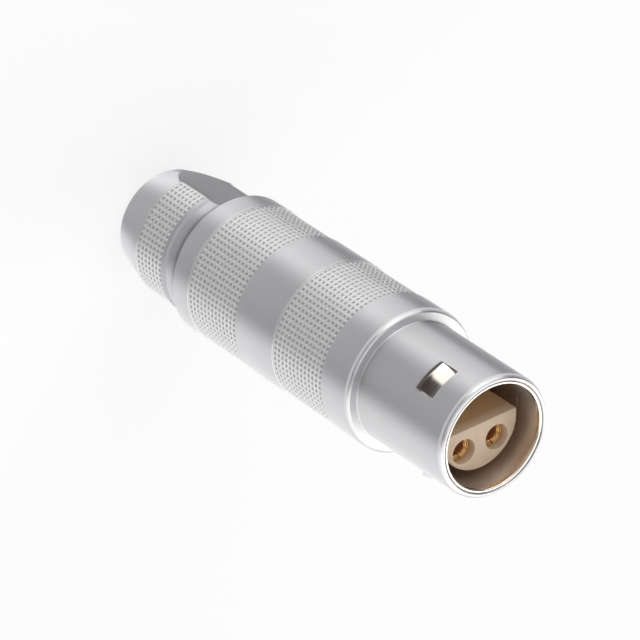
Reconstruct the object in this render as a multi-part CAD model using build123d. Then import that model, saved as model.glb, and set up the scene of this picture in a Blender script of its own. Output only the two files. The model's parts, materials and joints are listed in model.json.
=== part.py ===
from build123d import *
from math import cos, radians, sin, tan
import os

# A cable-mounted push-pull circular connector: the free socket, with two female contacts.
# It stands on the end of its collet nut with the mouth up, and its axis is Z.
# Millimetres. +X is the side of the mouth that the half-moon insert leaves open.

# Outside, from the cable end up
body_r = 6.25
body_length = 23.90
shoulder_step = 0.95
nose_length = 10.85
nut_step = 0.70
nut_cone_length = 3.75
nut_cone_drop = 0.90
nut_plain_length = 0.70
nut_taper_length = 1.80
nut_taper_drop = 0.25
nut_gap = 0.20
flat_depth = 0.75
flat_turn = -23.6

# Knurled bands: whole pitches long, cut to their root radius here
knurl_pitch = 0.50
knurl_recess = 0.10
knurl_depth = 0.14
nut_band_pitches = 7
body_band_pitches = 13
rear_band_start = 2.15
front_band_start = 13.80

# Chamfers
small_chamfer = 0.15
shoulder_chamfer = 0.30
nose_chamfer = 0.24
insert_chamfer = 0.12

# Walls and spaces, from the outside inwards
body_wall = 1.00
nose_wall = 0.44
crown_wall = 0.34
plug_space = 0.85
carrier_wall = 0.90
thread_wall = 0.65
collet_wall = 1.10

# Clearances on a radius
fit_gap = 0.02
thread_gap = 0.05
cone_gap = 0.05
contact_hole_gap = 0.045
flange_gap = 0.13
cable_gap = 0.20

# The mouth
rim_step = 0.05
carrier_depth = 0.85
insert_recess = 1.95
insert_flat = 0.32

# Windows in the nose, with a sprung tongue of the crown in each
window_count = 3
window_turn = 28.0
window_width = 3.00
window_height = 2.15
window_from_rim = 2.85
tongue_side_gap = 0.12
tongue_end_gap = 0.60
tongue_rise = 0.74

# Spring fingers of the crown
finger_count = 6
finger_slot = 0.40
finger_length = 4.50

# Contacts
contact_half_angle = 46.2
contact_rim_wall = 0.305
contact_r = 1.05
contact_bore_r = 0.675
contact_lead_in = 0.22
contact_recess = 0.65
contact_bore_depth = 6.50
contact_slot = 0.22
contact_slot_depth = 5.00
collar_step = 0.10
collar_height = 0.80
stem_step = 0.15
cup_wall = 0.20
cup_length = 3.40
cup_bore_depth = 2.80

# Insulators
flange_height = 2.00
insert_tail = 3.20
rear_insulator_height = 2.00
ear_width = 1.20

# Carrier halves and the ring round them
carrier_lip = 1.00
split_gap = 0.10
ring_wall = 0.35
ring_height = 0.80
ring_below_flange = 1.50
ring_opening = 50.0

# Cable collet and the inside of its nut
thread_length = 4.00
nut_lip = 0.90
collet_cone_length = 4.00
collet_cone_turn = 11.5
collet_slots = 6
collet_slot = 0.60
collet_slot_length = 8.50
collet_front_gap = 0.05

# How far a cutting shape runs past what it cuts
overcut = 1.00

# Heights of the main faces
nut_band_start = nut_cone_length
nut_band_end = nut_band_start + nut_band_pitches * knurl_pitch
nut_taper_start = nut_band_end + nut_plain_length
nut_front = nut_taper_start + nut_taper_length
body_start = nut_front + nut_gap
body_end = body_start + body_length
rim = body_end + nose_length
thread_end = nut_front + thread_length
carrier_front = body_end - carrier_depth
carrier_rear = thread_end + collet_front_gap
insert_face = rim - insert_recess
flange_top = carrier_front - carrier_lip
flange_base = flange_top - flange_height
insert_rear = flange_base - insert_tail
rear_insulator_base = insert_rear - rear_insulator_height
contact_front = insert_face - contact_recess
window_top = rim - window_from_rim
window_base = window_top - window_height
collet_tail = nut_lip + cone_gap

# Radii, from the outside inwards
nose_r = body_r - shoulder_step
nose_bore_r = nose_r - nose_wall
crown_r = nose_bore_r - fit_gap
mouth_r = crown_r - crown_wall
insert_r = mouth_r - plug_space
shell_bore_r = body_r - body_wall
carrier_r = shell_bore_r - fit_gap
carrier_bore_r = carrier_r - carrier_wall
flange_r = carrier_bore_r - flange_gap
ring_seat_r = carrier_r - ring_wall
nut_r = body_r - nut_step
nut_end_r = nut_r - nut_cone_drop
nut_front_r = nut_r - nut_taper_drop
thread_r = shell_bore_r - thread_gap
nut_bore_r = thread_r - thread_wall
collet_r = nut_bore_r - cone_gap
cable_r = collet_r - collet_wall
cable_hole_r = cable_r + cable_gap
insert_hole_r = contact_r + contact_hole_gap
contact_ring_r = insert_r - contact_rim_wall - insert_hole_r
collar_r = contact_r + collar_step
stem_r = contact_r - stem_step


def turned(*outline):
    """A solid turned about Z from an outline of radius and height pairs."""
    return revolve(Plane.XZ * make_face(Polyline(*outline, close=True)), Axis.Z)


def tube(outer, inner, low, high):
    return turned((inner, low), (outer, low), (outer, high), (inner, high))


def rod(radius, low, high):
    return Pos(0, 0, low) * Cylinder(radius, high - low, align=(Align.CENTER, Align.CENTER, Align.MIN))


def block(x_low, x_high, width, low, high):
    """A block across the X axis, from x_low to x_high and as wide as stated along Y."""
    size = (x_high - x_low, width, high - low)
    return Pos((x_low + x_high) / 2, 0, (low + high) / 2) * Box(*size)


def spread(shape, count, first=0.0):
    """Copies of a shape, evenly spaced about Z from the first angle."""
    return [Rot(0, 0, first + 360 * number / count) * shape for number in range(count)]


def band(outer, low, pitches):
    """What the tool takes off to bring a band of whole pitches down to its knurl's root."""
    root = outer - knurl_recess - knurl_depth
    return tube(outer + overcut, root, low, low + pitches * knurl_pitch)


def window_block(width):
    """A block that cuts one window of the nose through shell and crown."""
    return block(mouth_r - overcut, body_r, width, window_base, window_top)


def make_outer_shell():
    shell = turned(
        (shell_bore_r, body_start),
        (body_r - small_chamfer, body_start),
        (body_r, body_start + small_chamfer),
        (body_r, body_end - shoulder_chamfer),
        (body_r - shoulder_chamfer, body_end),
        (nose_r, body_end),
        (nose_r, rim - nose_chamfer),
        (nose_r - nose_chamfer, rim),
        (nose_bore_r, rim),
        (nose_bore_r, carrier_front),
        (shell_bore_r, carrier_front),
    )
    shell -= band(body_r, body_start + rear_band_start, body_band_pitches)
    shell -= band(body_r, body_start + front_band_start, body_band_pitches)
    return shell - spread(window_block(window_width), window_count, window_turn)


def make_earthing_crown():
    """The sleeve of the mouth: fingers at its inner end, and a tongue bent out through each window."""
    crown = tube(crown_r, mouth_r, carrier_front, rim - rim_step)
    crown -= spread(window_block(window_width), window_count, window_turn)
    slot = block(mouth_r - overcut, body_r, finger_slot, carrier_front, carrier_front + finger_length)
    crown -= spread(slot, finger_count, window_turn + 180 / finger_count)
    tip = window_base + tongue_end_gap
    bent_strip = turned(
        (mouth_r + tongue_rise, tip),
        (crown_r + tongue_rise, tip),
        (crown_r, window_top),
        (mouth_r, window_top),
    )
    tongue = bent_strip & window_block(window_width - 2 * tongue_side_gap)
    return crown + spread(tongue, window_count, window_turn)


def contact_places():
    angles = [180 + contact_half_angle, 180 - contact_half_angle]
    return [Pos(contact_ring_r * cos(radians(a)), contact_ring_r * sin(radians(a)), 0) for a in angles]


def make_front_insulator():
    """The half-moon insert on its round flange, with two ears that stop it from turning."""
    column = rod(insert_r, insert_rear, insert_face)
    column -= block(insert_flat, insert_r + overcut, 2 * insert_r + overcut, flange_top, insert_face)
    column = chamfer(column.faces().sort_by(Axis.Z)[-1].edges(), insert_chamfer)
    insulator = column + rod(flange_r, flange_base, flange_top)
    ear = block(flange_r - overcut, carrier_r - carrier_wall / 2, ear_width, flange_base, flange_top)
    insulator += spread(ear, 2, 90)
    for place in contact_places():
        insulator -= place * rod(insert_hole_r, insert_rear, insert_face)
        insulator -= place * rod(collar_r + contact_hole_gap, insert_rear, insert_rear + collar_height)
    return insulator


def make_rear_insulator():
    disc = rod(insert_r, rear_insulator_base, insert_rear)
    for place in contact_places():
        disc -= place * rod(stem_r + contact_hole_gap, rear_insulator_base, insert_rear)
    return disc


def make_contact(place):
    """A slotted female contact with a collar, and a solder cup that is open on one side."""
    collar_top = insert_rear + collar_height
    cup_end = rear_insulator_base - cup_length
    cup_floor = cup_end + cup_bore_depth
    bore_end = contact_front - contact_bore_depth
    contact = turned(
        (0, cup_end),
        (stem_r, cup_end),
        (stem_r, insert_rear),
        (collar_r, insert_rear),
        (collar_r, collar_top),
        (contact_r, collar_top),
        (contact_r, contact_front),
        (contact_bore_r + contact_lead_in, contact_front),
        (contact_bore_r, contact_front - contact_lead_in),
        (contact_bore_r, bore_end),
        (0, bore_end - contact_bore_r / 2),
    )
    reach = contact_r + overcut
    contact -= block(-reach, reach, contact_slot, contact_front - contact_slot_depth, contact_front)
    contact -= rod(stem_r - cup_wall, cup_end, cup_floor)
    contact -= block(0, reach, 2 * reach, cup_end, cup_floor - cup_bore_depth / 2)
    return place * contact


def make_carrier_half(side):
    """One half of the split carrier: it holds the insulator's flange and ears in the shell."""
    lip_r = carrier_bore_r - carrier_wall / 2
    wall = turned(
        (lip_r, carrier_rear),
        (carrier_r, carrier_rear),
        (carrier_r, carrier_front),
        (insert_r + fit_gap, carrier_front),
        (insert_r + fit_gap, flange_top),
        (carrier_bore_r, flange_top),
        (carrier_bore_r, carrier_rear + carrier_lip),
        (lip_r, carrier_rear + carrier_lip),
    )
    support_r = carrier_bore_r + carrier_wall / 4
    wall += tube(support_r, insert_r + fit_gap, flange_base - carrier_lip, flange_base)
    ear_room = block(0, carrier_r, ear_width + 2 * fit_gap, flange_base, flange_top)
    wall -= spread(ear_room, 2, 90)
    ring_top = flange_base - ring_below_flange
    wall -= tube(carrier_r + overcut, ring_seat_r, ring_top - ring_height, ring_top)
    reach = carrier_r + overcut
    half_space = block(split_gap / 2, reach, 2 * reach, carrier_rear - overcut, carrier_front + overcut)
    return wall & (Rot(0, 0, side) * half_space)


def make_retaining_ring():
    """An open ring that keeps the two carrier halves together."""
    base = flange_base - ring_below_flange - ring_height
    ring = tube(carrier_r, ring_seat_r + fit_gap, base, base + ring_height)
    reach = 2 * carrier_r
    half_width = reach * tan(radians(ring_opening / 2))
    wedge = make_face(Polyline((0, 0), (reach, -half_width), (reach, half_width), close=True))
    return ring - Pos(0, 0, base) * extrude(wedge, ring_height)


def make_cable_collet():
    """A sleeve whose slotted cone closes on the cable when the nut draws over it."""
    cone_drop = collet_cone_length * tan(radians(collet_cone_turn))
    collet = turned(
        (cable_r, collet_tail),
        (collet_r - cone_drop, collet_tail),
        (collet_r, collet_tail + collet_cone_length),
        (collet_r, thread_end),
        (cable_r, thread_end),
    )
    slot = block(0, collet_r + overcut, collet_slot, collet_tail, collet_tail + collet_slot_length)
    return collet - spread(slot, collet_slots, 180 / collet_slots)


def make_collet_nut():
    """The nut: a closing cone inside, wrench flats and a knurled band outside, a male thread at the front."""
    cone_drop = (cone_gap + collet_cone_length) * tan(radians(collet_cone_turn))
    thread_front = thread_end - collet_front_gap
    nut = turned(
        (cable_hole_r, 0),
        (nut_end_r - small_chamfer, 0),
        (nut_end_r, small_chamfer),
        (nut_r, nut_cone_length),
        (nut_r, nut_taper_start),
        (nut_front_r, nut_front),
        (thread_r, nut_front),
        (thread_r, thread_front),
        (nut_bore_r, thread_front),
        (nut_bore_r, collet_tail + collet_cone_length),
        (nut_bore_r - cone_drop, nut_lip),
        (cable_hole_r, nut_lip),
    )
    nut -= band(nut_r, nut_band_start, nut_band_pitches)
    flat = block(nut_r - flat_depth, nut_r + overcut, 3 * nut_r, 0, nut_front)
    return nut - spread(flat, 2, flat_turn)


def make_parts():
    parts = {
        "outer_shell": make_outer_shell(),
        "earthing_crown": make_earthing_crown(),
        "front_insulator": make_front_insulator(),
        "rear_insulator": make_rear_insulator(),
        "retaining_ring": make_retaining_ring(),
        "cable_collet": make_cable_collet(),
        "collet_nut": make_collet_nut(),
    }
    for number, place in enumerate(contact_places(), start=1):
        parts[f"contact_{number}"] = make_contact(place)
    for number, side in enumerate((0, 180), start=1):
        parts[f"carrier_half_{number}"] = make_carrier_half(side)
    return parts


os.makedirs("parts", exist_ok=True)
for name, shape in make_parts().items():
    export_step(shape, f"parts/{name}.step")
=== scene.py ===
# %% [markdown]
# # A circular push-pull connector socket, in satin chrome
#
# The connector stands on its collet nut with its mouth up. Its shell and nut are turned parts with
# rolled knurls, the mouth holds a polished sleeve and a moulded half-moon insert with two gold
# contacts. The solids of the CAD model are loaded first. They stay where they are, and every piece
# that is modelled here is made round the same axis, in metres.

# %% Load the solids
import json
from math import cos, hypot, pi, radians, sin, tan

import bpy
from mathutils import Matrix, Vector

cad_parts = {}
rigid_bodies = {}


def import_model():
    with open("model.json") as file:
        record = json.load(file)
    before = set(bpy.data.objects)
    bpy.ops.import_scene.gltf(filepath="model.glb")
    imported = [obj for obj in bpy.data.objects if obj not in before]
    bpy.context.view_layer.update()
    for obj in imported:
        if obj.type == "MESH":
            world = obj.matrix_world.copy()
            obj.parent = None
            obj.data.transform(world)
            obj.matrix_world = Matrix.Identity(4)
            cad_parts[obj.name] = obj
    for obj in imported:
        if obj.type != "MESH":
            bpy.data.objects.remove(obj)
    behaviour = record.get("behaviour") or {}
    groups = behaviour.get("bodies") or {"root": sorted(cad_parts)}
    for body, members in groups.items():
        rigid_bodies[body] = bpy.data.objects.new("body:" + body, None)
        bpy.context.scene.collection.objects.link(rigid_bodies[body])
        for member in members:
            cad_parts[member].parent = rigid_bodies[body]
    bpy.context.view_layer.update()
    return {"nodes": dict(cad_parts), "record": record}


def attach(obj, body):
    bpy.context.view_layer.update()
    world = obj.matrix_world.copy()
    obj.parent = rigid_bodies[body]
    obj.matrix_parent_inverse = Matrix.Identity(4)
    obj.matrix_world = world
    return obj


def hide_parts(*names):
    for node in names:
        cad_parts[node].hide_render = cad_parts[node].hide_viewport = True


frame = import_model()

MM = 0.001
nodes = frame["nodes"]
print("solids:", ", ".join(sorted(nodes)))

# %% [markdown]
# ## The camera
#
# The photograph looks down on the mouth from about 45 degrees, with a long lens, and the camera is
# rolled so that the standing connector lies across the picture. A camera could be turned by three
# angles, but its look direction and its up direction say the same thing more plainly.

# %% Set the camera
camera_place = Vector((276.08191, 252.09743, 391.97235)) * MM
look = Vector((-0.524407, -0.479234, -0.703798)).normalized()
side = look.cross(Vector((0.849205, -0.354003, -0.391868))).normalized()
above = side.cross(look)

camera_data = bpy.data.cameras.new("photo_camera")
camera_data.lens = 367.65
camera_data.sensor_width = 36
camera = bpy.data.objects.new("photo_camera", camera_data)
bpy.context.scene.collection.objects.link(camera)
turn = Matrix((side, above, -look)).transposed().to_4x4()
camera.matrix_world = Matrix.Translation(camera_place) @ turn
bpy.context.scene.camera = camera
bpy.context.scene.view_settings.view_transform = "Standard"
print("camera stands", round(camera_place.length / MM), "mm from the foot of the axis")

# %% [markdown]
# ## Small helpers for modelling
#
# An operator works on whatever is selected, so each helper clears the selection first. Faces are
# then picked by their place and the way they face, as one would pick them by eye.


# %% Helpers for selecting
def activate(piece):
    if bpy.context.object and bpy.context.object.mode != "OBJECT":
        bpy.ops.object.mode_set(mode="OBJECT")
    bpy.ops.object.select_all(action="DESELECT")
    piece.select_set(True)
    bpy.context.view_layer.objects.active = piece


def pick_faces(piece, wanted):
    """Leaves the piece in edit mode with the faces selected whose middle (mm) and normal pass."""
    activate(piece)
    bpy.ops.object.mode_set(mode="EDIT")
    bpy.ops.mesh.select_mode(type="FACE")
    bpy.ops.mesh.select_all(action="DESELECT")
    bpy.ops.object.mode_set(mode="OBJECT")
    picked = 0
    for face in piece.data.polygons:
        face.select = bool(wanted(face.center / MM, face.normal))
        picked += face.select
    bpy.ops.object.mode_set(mode="EDIT")
    return picked


def settle(piece, smooth=30):
    """Puts the piece's place into its mesh and smooths the shading of its gentle edges."""
    activate(piece)
    bpy.ops.object.transform_apply(location=True, rotation=True, scale=True)
    bpy.ops.object.shade_smooth_by_angle(angle=radians(smooth))
    print(piece.name, "has", len(piece.data.polygons), "faces")


# %% [markdown]
# ## Turning a part
#
# Everything round on this connector comes off a lathe. A cylinder with edited loops would do, but a
# half section that is spun about the axis is how the part is drawn for the lathe, and each corner
# can get its own small radius. The section is drawn by pulling one point from corner to corner.


# %% Draw a half section with rounded corners
def rounded(corners, steps=6):
    """Half section in mm. Each corner is (radius, height, rounding). The last joins the first."""
    outline = []
    for n, (x, z, rounding) in enumerate(corners):
        here = Vector((x, z))
        before, after = Vector(corners[n - 1][:2]), Vector(corners[(n + 1) % len(corners)][:2])
        if rounding == 0:
            outline.append(here)
            continue
        back, on = (before - here).normalized(), (after - here).normalized()
        half = back.angle(on) / 2
        middle = here + (back + on).normalized() * (rounding / sin(half))
        reach = rounding / tan(half)
        start, end = here + back * reach, here + on * reach
        first, sweep = start - middle, (start - middle).angle_signed(end - middle)
        for k in range(steps + 1):
            a = -sweep * k / steps
            outline.append(middle + Vector((first.x * cos(a) - first.y * sin(a),
                                            first.x * sin(a) + first.y * cos(a))))
    return outline


# %% Pull a point round the section, and spin the section
# Points that lie nearer to each other than this, in mm, are one point.
same_place = 0.001


def drawn(name, outline, closed=True):
    """A line through the points of the outline, left in edit mode with all of it selected."""
    x, z = outline[0]
    bpy.ops.object.select_all(action="DESELECT")
    bpy.ops.mesh.primitive_plane_add(size=MM, location=(x * MM, 0, z * MM))
    piece = bpy.context.object
    piece.name = piece.data.name = name
    bpy.ops.object.transform_apply(location=True)
    bpy.ops.object.mode_set(mode="EDIT")
    bpy.ops.mesh.select_mode(type="VERT")
    bpy.ops.mesh.merge(type="CENTER")
    corners = [Vector(p) for p in outline]
    for here, following in zip(corners, corners[1:] + corners[:1] * closed):
        step = (following - here) * MM
        bpy.ops.mesh.extrude_vertices_move(TRANSFORM_OT_translate={"value": (step.x, 0, step.y)})
    bpy.ops.mesh.select_all(action="SELECT")
    bpy.ops.mesh.remove_doubles(threshold=same_place * MM)
    return piece


def turned(name, outline, sides, angle=360.0, closed=True):
    """Spins the outline about the axis. An open outline starts and ends on the axis."""
    piece = drawn(name, outline, closed)
    if angle < 360:
        bpy.ops.mesh.edge_face_add()
    bpy.ops.mesh.spin(steps=sides, angle=radians(angle), center=(0, 0, 0), axis=(0, 0, 1))
    bpy.ops.mesh.select_all(action="SELECT")
    bpy.ops.mesh.remove_doubles(threshold=2 * same_place * MM)
    bpy.ops.mesh.normals_make_consistent(inside=False)
    bpy.ops.object.mode_set(mode="OBJECT")
    return piece


# %% [markdown]
# ## Cutting
#
# Windows, slots and wrench flats are milled into the turned parts, and holes are drilled. The tool
# here is a box or a rod, and a Boolean takes it away. A mill leaves sharp edges that are broken
# with a file afterwards, so the rims of a cut get a narrow bevel, which is what catches the light.


# %% Mill with a box, drill with a rod
def milling_box(middle, size, turn_deg, corner=0.0):
    """A box: middle (radius along its own direction, height), size (out, across, up), in mm."""
    out, up = middle
    a = radians(turn_deg)
    place = (out * cos(a) * MM, out * sin(a) * MM, up * MM)
    bpy.ops.object.select_all(action="DESELECT")
    bpy.ops.mesh.primitive_cube_add(size=1, location=place, rotation=(0, 0, a),
                                    scale=[s * MM for s in size])
    tool = bpy.context.object
    bpy.ops.object.transform_apply(location=False, rotation=False, scale=True)
    if corner:
        bpy.ops.object.mode_set(mode="EDIT")
        bpy.ops.mesh.select_mode(type="EDGE")
        bpy.ops.mesh.select_all(action="DESELECT")
        bpy.ops.object.mode_set(mode="OBJECT")
        for edge in tool.data.edges:
            one, two = (tool.data.vertices[v].co for v in edge.vertices)
            edge.select = abs(one.x - two.x) > abs(one.y - two.y) + abs(one.z - two.z)
        bpy.ops.object.mode_set(mode="EDIT")
        bpy.ops.mesh.bevel(offset=corner * MM, segments=4, affect="EDGES")
        bpy.ops.object.mode_set(mode="OBJECT")
    bpy.ops.object.transform_apply(location=True, rotation=True, scale=True)
    return tool


def drilling_rod(place, radius, low, high):
    """A rod that stands at place (x, y), from one height to another, in mm."""
    middle = (place[0] * MM, place[1] * MM, (low + high) / 2 * MM)
    bpy.ops.object.select_all(action="DESELECT")
    bpy.ops.mesh.primitive_cylinder_add(vertices=64, radius=radius * MM, depth=(high - low) * MM,
                                        location=middle)
    tool = bpy.context.object
    bpy.ops.object.transform_apply(location=True)
    return tool


def cut_with(piece, tool, operation="DIFFERENCE"):
    cut = piece.modifiers.new("cut", "BOOLEAN")
    cut.operation, cut.solver, cut.object = operation, "EXACT", tool
    activate(piece)
    bpy.ops.object.modifier_apply(modifier=cut.name)
    bpy.data.objects.remove(tool)


def break_edges(piece, width, angle=40):
    """A narrow bevel on every edge that is sharper than the angle."""
    file = piece.modifiers.new("file", "BEVEL")
    file.width, file.segments = width * MM, 2
    file.limit_method, file.angle_limit = "ANGLE", radians(angle)
    activate(piece)
    bpy.ops.object.modifier_apply(modifier=file.name)


# %% [markdown]
# ## The shell
#
# One turned brass part: the thick body with two recesses for the knurls, a shoulder, and the
# thinner nose. The front edges of the body and the nose are worked down in steps, each a little
# steeper, and the root of the nose has the radius of the tool's tip. These draw the fine light and
# dark lines at the shoulder and round the mouth.

# %% Turn the shell
body_r, nose_r, nose_bore_r, body_bore_r = 6.25, 5.30, 4.86, 5.25
knurl_root_r, knurl_crest_r = 6.01, 6.15
foot, bore_step, shoulder, tip = 9.95, 33.00, 33.85, 44.70
rear_band, front_band = (12.10, 18.60), (23.75, 30.25)
# Extra rings of edges below and above the windows, so that the windows are cut in short faces.
below_windows, above_windows = 39.40, 42.15
# Each corner of a front edge: how far in it lies, how far back, and its rounding.
edge_steps = ((0.00, 0.45, 0.10), (0.05, 0.23, 0.08), (0.13, 0.09, 0.05), (0.24, 0.00, 0.03))


def rolled_edge(radius, end):
    """The corners of a front edge that is worked down in three steps."""
    return [(radius - inwards, end - back, rounding) for inwards, back, rounding in edge_steps]


shell_corners = [(body_bore_r, foot, 0.05), (body_r, foot, 0.12)]
for low, high in (rear_band, front_band):
    shell_corners += [(body_r, low, 0.07), (knurl_root_r, low, 0), (knurl_root_r, high, 0),
                      (body_r, high, 0.07)]
shell_corners += [*rolled_edge(body_r, shoulder), (nose_r, shoulder, 0.07),
                  (nose_r, below_windows, 0), (nose_r, above_windows, 0),
                  *rolled_edge(nose_r, tip), (nose_bore_r, tip, 0.03),
                  (nose_bore_r, above_windows, 0), (nose_bore_r, below_windows, 0),
                  (nose_bore_r, bore_step, 0), (body_bore_r, bore_step, 0)]
shell_body = turned("shell_body", rounded(shell_corners), sides=160)
print("shell section has", len(shell_corners), "corners")

# %% Mill the three windows of the nose
window_turns = (28, 148, 268)
window_middle, window_width, window_height, window_corner = 40.775, 3.00, 2.15, 0.15
mill_middle_r, mill_reach = 5.1, 1.4
for turn_deg in window_turns:
    mill = milling_box((mill_middle_r, window_middle), (mill_reach, window_width, window_height),
                       turn_deg, corner=window_corner)
    cut_with(shell_body, mill)
break_edges(shell_body, 0.08, angle=50)
settle(shell_body)
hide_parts("outer_shell")
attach(shell_body, "connector")

# %% [markdown]
# ## The knurls
#
# A knurling wheel with small blunt teeth presses rows of pits into the metal and leaves a net of
# ridges between them. A bump texture would look flat from close by, so the pits are real: a sleeve
# is turned with one ring of faces for each row of teeth, and every face is inset and pushed in. A
# narrow ridge stays plain between two rings. The sleeve runs a little past both ends of its recess,
# because the wheel does too, and no open groove is left there.

# %% Roll a knurl
ridge_share = 0.08
# Each step down into a pit: how much narrower it gets and how much deeper, in mm.
pit_steps = ((0.065, 0.0), (0.035, 0.035), (0.035, 0.05), (0.03, 0.02))


def knurled_sleeve(name, crest_r, band, rings, across, wall=0.22, overrun=0.02):
    """A closed sleeve with this many rings of pits along the band, and this many pits round it."""
    pitch = (band[1] - band[0] + 2 * overrun) / (rings + ridge_share)
    low = band[0] - overrun
    outline = [(crest_r - wall, low)]
    for n in range(rings):
        outline += [(crest_r, low + pitch * n), (crest_r, low + pitch * (n + ridge_share))]
    high = low + pitch * (rings + ridge_share)
    outline += [(crest_r, low + pitch * rings), (crest_r, high), (crest_r - wall, high)]
    sleeve = turned(name, outline, across)

    def under_a_tooth(middle, normal):
        """Passes the faces of the outside, without the ends and the plain ridges."""
        outside = hypot(middle.x, middle.y) > crest_r - 0.03 and abs(normal.z) < 0.1
        return outside and (middle.z - low) / pitch % 1 > ridge_share

    made = pick_faces(sleeve, under_a_tooth)
    for inset, depth in pit_steps:
        bpy.ops.mesh.inset(thickness=inset * MM, depth=-depth * MM, use_individual=True)
    bpy.ops.object.mode_set(mode="OBJECT")
    print(name, "carries", made, "pits,", round(pitch, 3), "mm apart")
    return sleeve


for name, band in (("knurl_rear", rear_band), ("knurl_front", front_band)):
    knurl = knurled_sleeve(name, knurl_crest_r, band, rings=13, across=80)
    settle(knurl, smooth=50)
    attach(knurl, "connector")

# %% [markdown]
# ## The collet nut
#
# The nut ends in a cone where the cable leaves. Behind its knurl it has a shallow groove and a
# short taper, and then it is stepped down to the neck that the thread begins on. Inside, a cone is
# the seat of the collet. Two wrench flats are milled across the cone, the knurl and the taper.

# %% Turn the nut and mill its flats
nut_root_r, nut_crest_r, nut_r = 5.31, 5.45, 5.55
thread_root_r, thread_crest_r = 5.00, 5.20
nut_bore_r, nut_mouth_r = 4.55, 3.60
nut_band = (3.75, 7.25)
neck_low, neck_high, thread_end = 8.80, 9.75, 13.70
seat_low_r, seat_low, seat_high = 3.726, 0.90, 4.95
flat_from_axis, flat_turn = 4.80, -23.6
cone_corners = [(nut_mouth_r, 0, 0.15), (4.50, 0, 0.25), (nut_r, nut_band[0], 0.06)]
groove_corners = [(nut_r, nut_band[1], 0.04), (nut_r - 0.12, 7.52, 0.06),
                  (nut_r - 0.07, 7.95, 0.10)]
step_corners = [(5.44, 8.63, 0.03), (5.395, 8.77, 0.02), (thread_crest_r, neck_low, 0),
                (thread_crest_r, neck_high, 0.04)]
tube_corners = [(thread_root_r, neck_high, 0), (thread_root_r, thread_end, 0.08),
                (nut_bore_r, thread_end, 0.05), (nut_bore_r, seat_high, 0),
                (seat_low_r, seat_low, 0)]
nut_corners = [*cone_corners, (nut_root_r, nut_band[0], 0), (nut_root_r, nut_band[1], 0),
               *groove_corners, *step_corners, *tube_corners]
nut_body = turned("nut_body", rounded(nut_corners), sides=128)
knurl_nut = knurled_sleeve("knurl_nut", nut_crest_r, nut_band, rings=7, across=70)
flat_low, mill_reach = -1.0, 3.0
flat_middle = (flat_from_axis + mill_reach / 2, (flat_low + neck_high) / 2)
for piece in (nut_body, knurl_nut):
    for turn_deg in (flat_turn, flat_turn + 180):
        mill = milling_box(flat_middle, (mill_reach, 12.0, neck_high - flat_low), turn_deg)
        cut_with(piece, mill)
settle(nut_body, smooth=20)
settle(knurl_nut, smooth=50)
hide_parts("collet_nut")
for piece in (nut_body, knurl_nut):
    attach(piece, "nut")

# %% [markdown]
# ## The thread of the nut
#
# When the nut is unscrewed, its thread comes out of the shell. Rings would look nearly right, but a
# thread climbs, so the section of a flat-topped ridge is screwed up the tube, as on a lathe.

# %% Cut the thread
thread_pitch, thread_turns, thread_start, thread_sides = 0.50, 6, 9.95, 96
sunk_r, crest_edge_r = thread_root_r - 0.05, thread_crest_r - 0.02
ridge = [(sunk_r, 0.0), (sunk_r, 0.40), (crest_edge_r, 0.24), (thread_crest_r, 0.22),
         (thread_crest_r, 0.18), (crest_edge_r, 0.16)]
thread = drawn("nut_thread", [(r, thread_start + z) for r, z in ridge])
bpy.ops.object.mode_set(mode="OBJECT")
climb = thread.modifiers.new("climb", "SCREW")
climb.screw_offset, climb.iterations = thread_pitch * MM, thread_turns
climb.steps = climb.render_steps = thread_sides
activate(thread)
bpy.ops.object.modifier_apply(modifier=climb.name)
bpy.ops.object.mode_set(mode="EDIT")
bpy.ops.mesh.select_all(action="SELECT")
bpy.ops.mesh.fill_holes(sides=8)
bpy.ops.mesh.select_all(action="SELECT")
bpy.ops.mesh.normals_make_consistent(inside=False)
settle(thread)
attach(thread, "nut")

# %% [markdown]
# ## The earthing crown
#
# A thin polished sleeve lines the nose. Its rim is the bright ring of the mouth, with a fine seam
# round it, its inner end is slit into spring fingers, and three tongues stand out through the
# windows of the nose. Behind each tongue the photograph shows no opening in the wall of the mouth,
# so a thin skin is left there, with a fine crease where the tongue is bent.

# %% Turn the crown and cut its windows and slots
crown_r, mouth_r, crown_skin = 4.84, 4.50, 0.10
skin_low, skin_high = 39.0, 43.0
rim, seam_low, seam_width = 44.65, 44.30, 0.10
crown_corners = [(mouth_r, bore_step, 0), (crown_r, bore_step, 0), (crown_r, below_windows, 0),
                 (crown_r, above_windows, 0), (crown_r, seam_low, 0),
                 (crown_r - seam_width, seam_low, 0), (crown_r - seam_width, rim, 0.02),
                 (mouth_r + 0.04, rim, 0.11), (mouth_r, seam_low, 0.50),
                 (mouth_r, above_windows, 0), (mouth_r, below_windows, 0)]
crown = turned("crown_sleeve", rounded(crown_corners), sides=160)
wall_middle_r, mill_reach = 4.7, 1.2
for turn_deg in window_turns:
    pocket = milling_box((wall_middle_r, window_middle),
                         (mill_reach, window_width, window_height), turn_deg)
    cut_with(pocket, drilling_rod((0, 0), mouth_r + crown_skin, skin_low, skin_high))
    cut_with(crown, pocket)

finger_slots, slot_width, slot_low, slot_high = 6, 0.40, 32.0, 37.5
for n in range(finger_slots):
    slot_turn = window_turns[0] + 30 + 60 * n
    cut_with(crown, milling_box((wall_middle_r, (slot_low + slot_high) / 2),
                                (mill_reach, slot_width, slot_high - slot_low), slot_turn))
break_edges(crown, 0.03, angle=50)

crease_height, crease_width, crease_cut = 41.75, 0.08, 0.10
for turn_deg in window_turns:
    crease = milling_box((mouth_r, crease_height), (crease_cut, window_width, crease_width),
                         turn_deg)
    cut_with(crown, crease)
settle(crown)
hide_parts("earthing_crown")
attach(crown, "connector")

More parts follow.
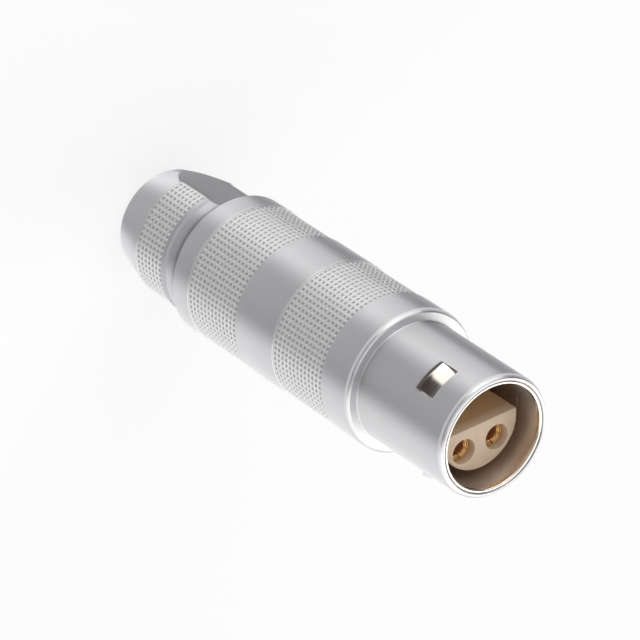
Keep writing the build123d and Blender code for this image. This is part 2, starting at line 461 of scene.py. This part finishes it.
# %% [markdown]
# ## The tongues
#
# Each tongue is cut free on three sides and bent out, so that it springs against the mating part.
# It hangs from the front edge of its window. A flat strip that is bent would do, but the tongue
# keeps the curve of the sleeve, so a short arc is spun and its sides are trimmed to the width of
# the strip.

# %% Bend one tongue and copy it to the three windows
tongue_width, tongue_sweep = 2.76, 44.0
tongue_outside = [(4.83, 42.05), (4.84, 41.84), (4.93, 41.60), (5.11, 41.20), (5.31, 40.76),
                  (5.50, 40.38), (5.56, 40.30)]
tongue_inside = [(5.26, 40.30), (5.17, 40.44), (4.97, 40.84), (4.75, 41.28), (4.58, 41.62),
                 (4.51, 41.84), (4.51, 42.05)]
tongue = turned("tongue_1", tongue_outside + tongue_inside, sides=24, angle=tongue_sweep)
tongue.rotation_euler.z = radians(window_turns[0] + tongue_sweep / 2)
activate(tongue)
bpy.ops.object.transform_apply(rotation=True)
strip = milling_box((5.0, 41.0), (3.0, tongue_width, 4.0), window_turns[0])
cut_with(tongue, strip, "INTERSECT")
break_edges(tongue, 0.04)
for n in (1, 2, 3):
    if n > 1:
        activate(tongue)
        bpy.ops.object.duplicate()
        tongue = bpy.context.object
        tongue.name = tongue.data.name = f"tongue_{n}"
        tongue.rotation_euler.z = radians(120)
    settle(tongue)
    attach(tongue, "connector")

# %% [markdown]
# ## The half-moon insert
#
# A moulded column stands on a round flange deep in the shell, and above the flange one side of it
# is left away. The mating insert fills that side, so the two can only go together one way. It is
# turned like the metal parts, then the flat is cut, the holes are drilled and every edge is
# softened, as the mould leaves it.

# %% Mould the insert
insert_r, insert_flat, insert_top, insert_low = 3.65, 0.32, 42.75, 26.80
flange_r, flange_low, flange_top = 4.20, 30.00, 32.00
ear_r, ear_reach, ear_width = 4.45, 0.9, 1.20
contact_circle_r, contact_half_angle = 2.25, 46.2
collar_foot, collar_top = 26.80, 27.60
contact_hole_r, collar_hole_r, hole_low, hole_high = 1.095, 1.195, 26.0, 43.5
insert_outline = [(0, insert_low), (insert_r, insert_low), (insert_r, flange_low),
                  (flange_r, flange_low), (flange_r, flange_top), (insert_r, flange_top),
                  (insert_r, insert_top), (0, insert_top)]
insert = turned("half_moon_insert", insert_outline, sides=128, closed=False)
open_reach, open_top = 6.0, 44.0
open_side = milling_box((insert_flat + open_reach / 2, (flange_top + open_top) / 2),
                        (open_reach, 10.0, open_top - flange_top), 0)
cut_with(insert, open_side)
for ear_turn in (90, 270):
    ear = milling_box((ear_r, (flange_low + flange_top) / 2),
                      (ear_reach, ear_width, flange_top - flange_low), ear_turn)
    cut_with(insert, ear, "UNION")

contact_turns = [radians(180 + a) for a in (contact_half_angle, -contact_half_angle)]
contact_places = [(contact_circle_r * cos(a), contact_circle_r * sin(a)) for a in contact_turns]
for place in contact_places:
    cut_with(insert, drilling_rod(place, contact_hole_r, hole_low, hole_high))
    cut_with(insert, drilling_rod(place, collar_hole_r, hole_low, collar_top))
break_edges(insert, 0.10)
settle(insert)
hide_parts("front_insulator")
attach(insert, "connector")

# %% [markdown]
# ## The contacts
#
# Each contact is a turned pin with a bore for the mating pin, a collar that holds it in the insert
# and a cup for the wire. Its mouth opens in a small step and a cone, and a slot makes it springy.
# One is turned and slotted, and the other is its copy.

# %% Turn the contacts
contact_r, contact_bore_r, stem_r, collar_r, cup_bore_r = 1.05, 0.675, 0.90, 1.15, 0.70
contact_top, bore_bottom, cup_bottom, cup_end = 42.10, 35.60, 24.20, 21.40
cup_corners = [(0.0, cup_bottom, 0), (cup_bore_r, cup_bottom, 0), (cup_bore_r, cup_end, 0),
               (stem_r, cup_end, 0.04), (stem_r, collar_foot, 0)]
collar_corners = [(collar_r, collar_foot, 0.04), (collar_r, collar_top, 0.04),
                  (contact_r, collar_top, 0)]
mouth_corners = [(contact_r, contact_top, 0.11), (0.85, contact_top, 0.02), (0.82, 41.96, 0.02),
                 (0.77, 41.96, 0.03), (contact_bore_r, 41.80, 0.10)]
bore_corners = [(contact_bore_r, bore_bottom, 0), (0.0, 35.26, 0)]
contact_corners = cup_corners + collar_corners + mouth_corners + bore_corners
contact = turned("pin_socket_1", rounded(contact_corners, steps=5), sides=64, closed=False)
spring_slot = milling_box((0, 39.6), (2.6, 0.08, 5.01), 0)
cut_with(contact, spring_slot)
cup_opening = milling_box((0.75, 22.0), (1.5, 2.0, 1.61), 0)
cut_with(contact, cup_opening)
for n, (x, y) in enumerate(contact_places, 1):
    if n > 1:
        activate(contact)
        bpy.ops.object.duplicate()
        contact = bpy.context.object
        contact.name = contact.data.name = f"pin_socket_{n}"
        x, y = x - contact_places[0][0], y - contact_places[0][1]
    contact.location = (x * MM, y * MM, 0)
    settle(contact)
    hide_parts(f"contact_{n}")
    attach(contact, "connector")

# %% [markdown]
# ## Materials: a small language for nodes
#
# A material is a graph of nodes. A class that wraps a socket and knows plus, minus and times lets
# the maths be written as a formula, and one method adds any other node.


# %% Make sockets that can be calculated with
class Signal:
    """A socket of a material's graph."""

    def __init__(self, finish, socket):
        self.finish, self.socket = finish, socket

    def _math(self, operation, one, two):
        return self.finish.node("ShaderNodeMath", {0: one, 1: two}, operation=operation)

    def __add__(self, other):
        return self._math("ADD", self, other)

    def __sub__(self, other):
        return self._math("SUBTRACT", self, other)

    def __rsub__(self, other):
        return self._math("SUBTRACT", other, self)

    def __mul__(self, other):
        return self._math("MULTIPLY", self, other)

    __radd__, __rmul__ = __add__, __mul__


class Finish:
    """A material that is built node by node and ends in one Principled shader."""

    def __init__(self, name):
        self.material = bpy.data.materials.new(name)
        self.material.use_nodes = True
        self.graph = self.material.node_tree
        self.graph.nodes.clear()

    def node(self, kind, sockets=None, out=0, **settings):
        """Any node: its type, its sockets by name or number, the output to take, its settings."""
        made = self.graph.nodes.new(kind)
        for setting, value in settings.items():
            setattr(made, setting, value)
        for key, value in (sockets or {}).items():
            if isinstance(value, Signal):
                self.graph.links.new(value.socket, made.inputs[key])
            elif made.inputs[key].type == "RGBA":
                made.inputs[key].default_value = (*value, 1)
            else:
                made.inputs[key].default_value = value
        return Signal(self, made.outputs[out]) if made.outputs else made

    def mix(self, factor, one, two):
        """A colour between two colours."""
        return self.node("ShaderNodeMix", {0: factor, 6: one, 7: two}, out=2, data_type="RGBA")

    def place(self, scale=1.0, stretch=(1, 1, 1)):
        """Object coordinates in millimetres times scale."""
        where = self.node("ShaderNodeTexCoord", out="Object")
        scales = [s * scale / MM for s in stretch]
        return self.node("ShaderNodeMapping", {"Vector": where, "Scale": scales})

    def noise(self, per_mm, detail=2.0, stretch=(1, 1, 1)):
        """Noise with about this many patches to the millimetre."""
        sockets = {"Vector": self.place(per_mm, stretch), "Scale": 1.0, "Detail": detail}
        return self.node("ShaderNodeTexNoise", sockets)

    def bump(self, height, distance_mm, strength=1.0):
        """A normal that is tilted by a height."""
        sockets = {"Height": height, "Distance": distance_mm * MM, "Strength": strength}
        return self.node("ShaderNodeBump", sockets)

    def shader(self, **sockets):
        """A Principled shader. Underscores in names stand for spaces."""
        named = {key.replace("_", " "): value for key, value in sockets.items()}
        return self.node("ShaderNodeBsdfPrincipled", named)

    def end(self, surface):
        self.node("ShaderNodeOutputMaterial", {"Surface": surface})
        print("finish", self.material.name, "uses", len(self.graph.nodes), "nodes")
        return self.material


# %% [markdown]
# ## Satin chrome
#
# Satin chrome is blasted very finely before it is plated, so it spreads each reflection softly, and
# the turning beneath it spreads it further along the axis than round it. The anisotropy says the
# latter. Noise does the former: a fine grain, faint clouds where the blasting was a little uneven,
# and fine rings from the turning. One recipe gives five finishes: the plain bands, the worked
# edges, which are smoother, the groove of the nut, whose colour is darker as painted shade, and the
# two knurls, whose colour is painted darker towards the bottom of their pits as painted shade.


# %% Mix the satin chrome in its five workings
def satin_chrome_finish(name, roughness, anisotropic, dark, light, pits=None):
    """The chrome of one working. A knurl gives its pits the painted shade that painted_pit_shade
    says, and others give none.
    """
    satin = Finish(name)
    grain = satin.noise(9.0, detail=3.0)
    clouds = satin.noise(0.35, detail=2.0)
    rings = satin.noise(1.0, detail=4.0, stretch=(0.02, 0.02, 7.0))
    uneven = (clouds - 0.5) * 0.06 + (grain - 0.5) * 0.10 + (rings - 0.5) * 0.06
    colour = satin.mix(clouds, dark, light)
    # Painted shade: towards the bottom of each pit the colour is darkened, where shade falls.
    if pits:
        bottom, crest, share = pits
        from_axis = satin.node("ShaderNodeVectorMath", {0: satin.place(stretch=(1, 1, 0))},
                               out="Value", operation="LENGTH")
        up = satin.node("ShaderNodeMapRange",
                        {"Value": from_axis, "From Min": bottom, "From Max": crest})
        colour = satin.mix(up, [c * share for c in dark], colour)
    return satin.end(satin.shader(
        Base_Color=colour, Metallic=1.0, Roughness=roughness + uneven,
        Anisotropic=anisotropic, Anisotropic_Rotation=0.25,
        Normal=satin.bump(grain + rings * 0.5, 0.002, strength=0.5)))


satin_chrome = satin_chrome_finish("satin_chrome", 0.56, 1.0,
                                   (0.66, 0.66, 0.69), (0.69, 0.69, 0.72))
satin_edge = satin_chrome_finish("satin_chrome_edges", 0.38, 0.80,
                                 (0.67, 0.67, 0.70), (0.70, 0.70, 0.73))
# Painted shade: the groove of the nut gets this darker copy of the chrome.
satin_painted_groove_shade = satin_chrome_finish("satin_chrome_neck_painted_shade", 0.50, 0.8,
                                   (0.48, 0.48, 0.51), (0.53, 0.53, 0.56))


def painted_pit_shade(crest_r):
    """Radius at the bottom of the pits and near the crest, and the colour's share at the bottom,
    where the shade is painted.
    """
    return crest_r - 0.09, crest_r - 0.01, 0.74


knurl_colours = ((0.71, 0.71, 0.73), (0.75, 0.75, 0.77))
satin_knurl = satin_chrome_finish("satin_chrome_knurled", 0.48, 0.95, *knurl_colours,
                                  pits=painted_pit_shade(knurl_crest_r))
satin_knurl_nut = satin_chrome_finish("satin_chrome_knurled_nut", 0.48, 0.95, *knurl_colours,
                                      pits=painted_pit_shade(nut_crest_r))

# %% [markdown]
# ## Nickel
#
# The rim and the tongues of the crown are bright nickel: a little warmer than chrome and much
# smoother. Very faint drawing lines round the axis keep them from being a perfect mirror. The wall
# of the mouth is drawn and duller. The parts deeper inside are plated more thinly, and the brass
# shows through a little.

# %% Mix the bright nickel, the drawn nickel and the plated brass inside
nickel_finish = Finish("bright_nickel")
lines = nickel_finish.noise(1.0, detail=3.0, stretch=(0.05, 0.05, 9.0))
stain = nickel_finish.noise(0.5)
nickel = nickel_finish.end(nickel_finish.shader(
    Base_Color=nickel_finish.mix(stain, (0.78, 0.74, 0.69), (0.85, 0.82, 0.78)), Metallic=1.0,
    Roughness=0.15 + (lines - 0.5) * 0.10, Normal=nickel_finish.bump(lines, 0.002, strength=0.3)))

wall_finish = Finish("drawn_nickel")
lines = wall_finish.noise(1.0, detail=3.0, stretch=(0.05, 0.05, 9.0))
stain = wall_finish.noise(1.0, detail=2.0, stretch=(0.6, 0.6, 0.08))
drawn_nickel = wall_finish.end(wall_finish.shader(
    Base_Color=wall_finish.mix(stain, (0.80, 0.72, 0.67), (0.92, 0.85, 0.79)), Metallic=1.0,
    Roughness=0.36 + (lines - 0.5) * 0.03, Anisotropic=0.5, Anisotropic_Rotation=0.25,
    Normal=wall_finish.bump(lines, 0.0005, strength=0.2)))

plated_finish = Finish("plated_brass")
marks = plated_finish.noise(1.0, detail=4.0, stretch=(0.05, 0.05, 5.0))
tarnish = plated_finish.noise(0.6, detail=3.0)
plated_brass = plated_finish.end(plated_finish.shader(
    Base_Color=plated_finish.mix(tarnish, (0.60, 0.57, 0.50), (0.72, 0.70, 0.65)), Metallic=1.0,
    Roughness=0.30 + (marks - 0.5) * 0.18, Normal=plated_finish.bump(marks, 0.006, strength=0.5)))

# %% [markdown]
# ## Gold and plastic
#
# The contacts are gold over brass, with faint machining marks, and their bores are painted
# red-brown for the gold's reflections inside them: a painted reflection. The insert is a hard
# moulded plastic
# in beige: slightly mottled, matt, with a little light passing through its skin, and it is painted
# browner and darker down into the mouth, a painted shade.

# %% Mix the gold and the plastic
gold_finish = Finish("contact_gold")
marks = gold_finish.noise(1.0, detail=3.0, stretch=(1.0, 1.0, 8.0))
patches = gold_finish.noise(1.2)
contact_gold = gold_finish.end(gold_finish.shader(
    Base_Color=gold_finish.mix(patches, (0.84, 0.58, 0.28), (0.92, 0.68, 0.38)), Metallic=1.0,
    Roughness=0.21 + (marks - 0.5) * 0.05, Normal=gold_finish.bump(marks, 0.0005, strength=0.1)))
# Painted reflection: the bore is coloured red-brown for the reflections of the gold inside it.
painted_bore_finish = Finish("contact_bore_painted_reflection")
streaks = painted_bore_finish.noise(1.0, detail=3.0, stretch=(5.0, 5.0, 0.5))
contact_bore_painted_reflection = painted_bore_finish.end(painted_bore_finish.shader(
    Base_Color=painted_bore_finish.mix(streaks, (0.62, 0.26, 0.11), (0.80, 0.42, 0.20)), Metallic=0.75,
    Roughness=0.50 + (streaks - 0.5) * 0.2))

plastic_finish = Finish("insert_plastic")
mottle = plastic_finish.noise(1.1, detail=4.0)
skin = plastic_finish.noise(14.0, detail=2.0)
# Painted shade: below its face the plastic is painted browner and darker the deeper it lies in the
# mouth.
height = plastic_finish.node("ShaderNodeSeparateXYZ", {0: plastic_finish.place()}, out="Z")
skin_height, painted_shade_full_height = insert_top - 0.05, insert_top - 1.2
painted_depth_shade = plastic_finish.node("ShaderNodeMapRange",
                           {"Value": height, "From Min": skin_height, "From Max": painted_shade_full_height})
face_colour = plastic_finish.mix(mottle, (0.56, 0.43, 0.325), (0.63, 0.50, 0.39))
insert_plastic = plastic_finish.end(plastic_finish.shader(
    Base_Color=plastic_finish.mix(painted_depth_shade, face_colour, (0.44, 0.27, 0.145)),
    Roughness=0.50 + (skin - 0.5) * 0.2, Normal=plastic_finish.bump(skin, 0.006, strength=0.6),
    Subsurface_Weight=0.05, Subsurface_Scale=0.0006))


# %% Give every piece and every solid its finish
def coat(piece, *materials):
    piece.data.materials.clear()
    for material in materials:
        piece.data.materials.append(material)


finish_of_slot = {"satin_chrome": satin_chrome, "nickel": nickel, "nickel_brass": plated_brass,
                  "gold": contact_gold, "insulator": insert_plastic}
for part in frame["record"]["subparts"]:
    coat(nodes[part["node"]], finish_of_slot[part["material_slot"]])

# The faces inside each bore get the painted reflection.
painted_bore_r, painted_bore_low, painted_bore_high = 0.70, 35.0, 41.7
bright_rim_low = 44.40
coat(insert, insert_plastic)
for piece in bpy.data.objects:
    if piece.name.startswith("knurl"):
        coat(piece, satin_knurl_nut if piece == knurl_nut else satin_knurl)
    if piece.name.startswith("pin_socket"):
        coat(piece, contact_gold, contact_bore_painted_reflection)
        x, y = contact_places[int(piece.name[-1]) - 1]
        for face in piece.data.polygons:
            c = face.center / MM
            in_bore = hypot(c.x - x, c.y - y) < painted_bore_r and painted_bore_low < c.z < painted_bore_high
            face.material_index = int(in_bore)
    if piece.name.startswith("tongue"):
        coat(piece, nickel)
    if piece.name.startswith("crown"):
        coat(piece, nickel, drawn_nickel)
        for face in piece.data.polygons:
            face.material_index = int(face.center.z < bright_rim_low * MM)

# %% Give the edges of the turned parts the working of an edge, and the nut's groove its painted shade
groove_low, groove_high = 7.28, 7.78
for piece, least_tilt in ((shell_body, 0.08), (nut_body, 0.45), (thread, 0.0)):
    coat(piece, satin_chrome, satin_edge, satin_painted_groove_shade)
    for face in piece.data.polygons:
        face.material_index = int(face.normal.z >= least_tilt)
        # The faces of the nut's groove get the darker chrome, a painted shade.
        if piece == nut_body and groove_low < face.center.z / MM < groove_high:
            face.material_index = 2
    print(piece.name, "has", sum(f.material_index > 0 for f in piece.data.polygons), "edge faces")

# %% [markdown]
# ## Floor and light
#
# Metal shows what stands round it, so the light is part of its look. Wide soft lamps stand far off,
# where the photograph shows bright flanks on the metal, and the sky between them is left dark,
# which draws the darker stripes. The lamps add up to a level at which a colour renders about as it
# is written. The floor is white paper. The camera, and the metal that mirrors the floor, see mostly
# the white of the paper, and the rest of it takes the object's shadow. The connector stands on its
# nut, so the floor goes down with the collet when the nut is unscrewed.

# %% Lay the floor
bpy.ops.object.select_all(action="DESELECT")
bpy.ops.mesh.primitive_circle_add(vertices=96, radius=4.0, fill_type="NGON", location=(0, 0, 0))
floor = bpy.context.object
floor.name = "studio_floor"
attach(floor, "collet")

paper_glow = 0.75
paper = Finish("studio_paper")
fibres = paper.noise(0.05, detail=2.0)
seen = sum(paper.node("ShaderNodeLightPath", out=f"Is {kind} Ray")
           for kind in ("Camera", "Glossy", "Transmission"))
white = paper.mix(fibres, (0.905, 0.91, 0.98), (0.925, 0.93, 1.0))
lit = paper.shader(Base_Color=white, Roughness=0.9)
glow = paper.node("ShaderNodeEmission", {"Color": (1.0, 1.0, 1.0), "Strength": 1.0})
page = paper.node("ShaderNodeMixShader", {0: seen * paper_glow, 1: lit, 2: glow})
coat(floor, paper.end(page))


# %% Hang the lamps and set the sky
def soft_lamp(name, azimuth, elevation, width_deg, strength, colour=(1.0, 0.992, 0.95)):
    """Hangs a far round lamp, and prints how much light it adds to a level surface."""
    data = bpy.data.lights.new(name, "SUN")
    data.energy, data.angle, data.color = strength, radians(width_deg), colour
    lamp = bpy.data.objects.new(name, data)
    bpy.context.scene.collection.objects.link(lamp)
    a, e = radians(azimuth), radians(elevation)
    towards = Vector((cos(a) * cos(e), sin(a) * cos(e), sin(e)))
    lamp.rotation_euler = towards.to_track_quat("Z", "Y").to_euler()
    print(name, "adds", round(strength * sin(e) / pi, 2), "to a level surface")


soft_lamp("lamp_right", -26, 22, 56, 1.2)
soft_lamp("lamp_low", -1, 6, 40, 0.48)
soft_lamp("lamp_left", 147, 26, 84, 2.15)
soft_lamp("lamp_back", 226, 32, 60, 1.44)
soft_lamp("lamp_top", 42, 64, 60, 0.85)

world = bpy.data.worlds.new("studio_sky")
world.use_nodes = True
world.node_tree.nodes["Background"].inputs["Color"].default_value = (0.055, 0.045, 0.045, 1)
world.node_tree.nodes["Background"].inputs["Strength"].default_value = 1.0
bpy.context.scene.world = world
